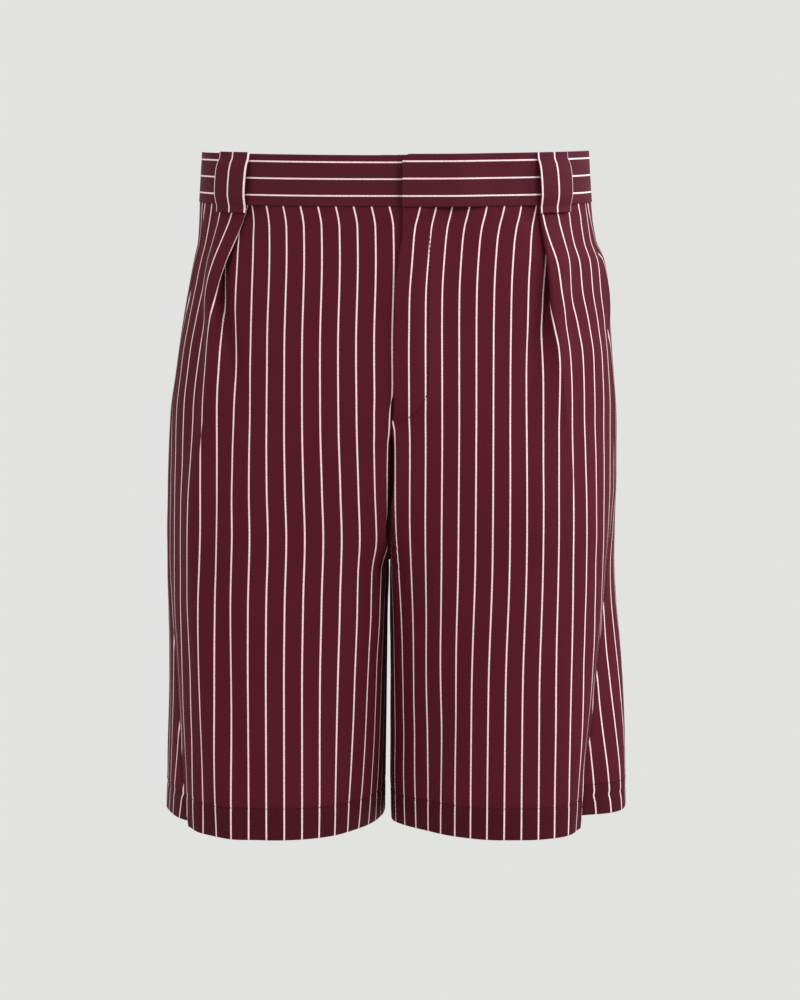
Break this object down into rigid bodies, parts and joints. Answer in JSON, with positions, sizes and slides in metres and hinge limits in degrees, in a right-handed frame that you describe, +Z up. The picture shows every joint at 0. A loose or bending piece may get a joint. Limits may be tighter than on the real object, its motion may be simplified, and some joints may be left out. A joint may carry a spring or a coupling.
{
  "type": "bermuda shorts, filled out as worn",
  "caption": "Burgundy pinstripe bermuda shorts with pleats, a lapped fly, belt loops and turned hems.",
  "frame": {"origin": "the middle of the waist ring, halfway up the waistband, where the wearer's waist holds the shorts", "axes": "+Z up, -Y the front, +X the wearer's left"},
  "size_m": [0.3638, 0.2419, 0.5461],
  "materials": {
    "cloth": "burgundy crepe with fine white pinstripes, soft sheen",
    "band_cloth": "the same cloth with its stripes lying along the band",
    "loop_cloth": "the same cloth, folded double",
    "pocket_cloth": "plain matte pocketing"
  },
  "bodies": {
    "root": {"front_right": "cloth", "front_left": "cloth", "back_right": "cloth", "back_left": "cloth", "waistband_right": "band_cloth", "waistband_left": "band_cloth", "fly_shield": "band_cloth", "belt_loop_front_right": "loop_cloth", "belt_loop_front_left": "loop_cloth", "belt_loop_side_back_right": "loop_cloth", "belt_loop_side_back_left": "loop_cloth", "belt_loop_centre_back": "loop_cloth", "pocket_bag_right": "pocket_cloth", "pocket_bag_left": "pocket_cloth"}
  },
  "joints": []
}
